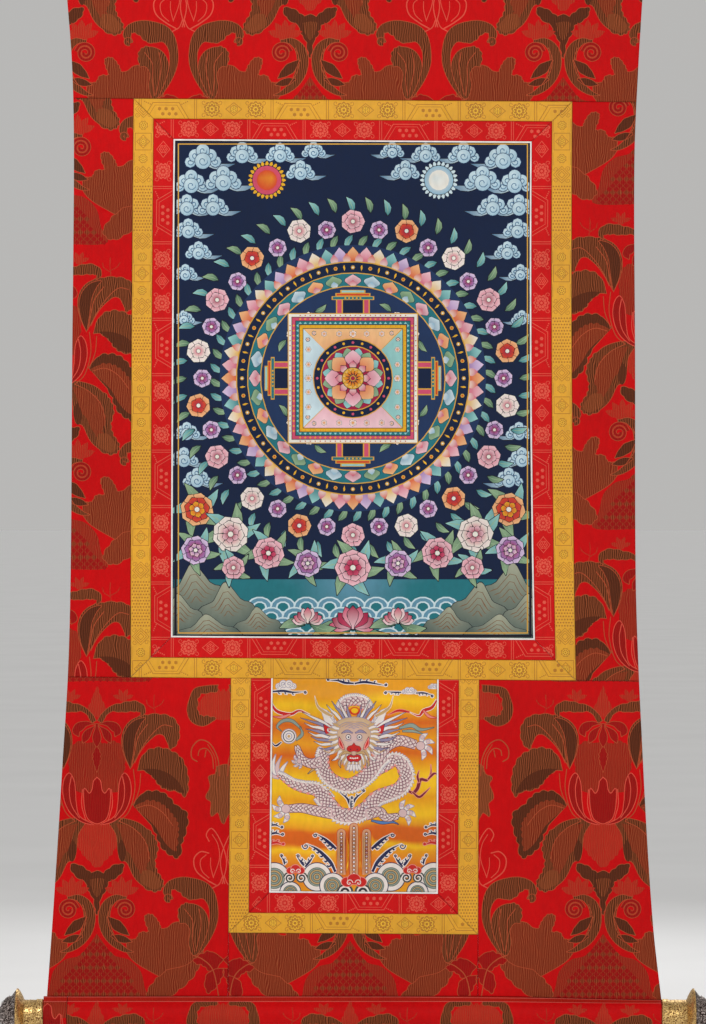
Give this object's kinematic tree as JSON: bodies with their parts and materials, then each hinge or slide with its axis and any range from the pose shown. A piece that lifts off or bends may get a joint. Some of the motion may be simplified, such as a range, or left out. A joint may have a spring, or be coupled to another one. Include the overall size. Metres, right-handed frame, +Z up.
{
  "type": "thangka scroll painting with its roller rod",
  "caption": "Hanging scroll: a painted cotton panel in a red and gold brocade mount, with a dragon satin panel below it and a knobbed roller in the foot sleeve.",
  "frame": {"origin": "middle of the cloth's top edge, in the plane of the cloth", "axes": "+Z up the hanging cloth, +X to the right of the front, -Y out of the front"},
  "size_m": [0.99, 0.073, 1.45],
  "materials": {
    "red_brocade": "silk damask, soft sheen",
    "gold_brocade": "gold-yellow silk brocade",
    "red_border": "red silk brocade",
    "piping": "pale silk piping",
    "painted_cotton": "distemper on primed cotton, matt",
    "gold_satin": "glossy figured satin",
    "rod_wood": "plain turned softwood",
    "bright_brass": "polished, engraved",
    "aged_metal": "chased white metal with a dark patina in the hollows"
  },
  "bodies": {
    "root": {"brocade_top": "red_brocade", "brocade_left": "red_brocade", "brocade_right": "red_brocade", "brocade_lower_left": "red_brocade", "brocade_lower_right": "red_brocade", "brocade_lower_middle": "red_brocade", "picture_gold_top": "gold_brocade", "picture_gold_bottom": "gold_brocade", "picture_gold_left": "gold_brocade", "picture_gold_right": "gold_brocade", "picture_red_top": "red_border", "picture_red_bottom": "red_border", "picture_red_left": "red_border", "picture_red_right": "red_border", "picture_piping_top": "piping", "picture_piping_bottom": "piping", "picture_piping_left": "piping", "picture_piping_right": "piping", "painting": "painted_cotton", "door_gold_left": "gold_brocade", "door_gold_right": "gold_brocade", "door_gold_bottom": "gold_brocade", "door_red_left": "red_border", "door_red_right": "red_border", "door_red_bottom": "red_border", "door_piping_left": "piping", "door_piping_right": "piping", "door_piping_bottom": "piping", "door_satin": "gold_satin", "roller_sleeve": "red_brocade", "roller_cuff": "red_brocade", "roller_rod": "rod_wood", "ferrule_left": "bright_brass", "ferrule_right": "bright_brass", "knob_left": "aged_metal", "knob_right": "aged_metal"}
  },
  "joints": []
}
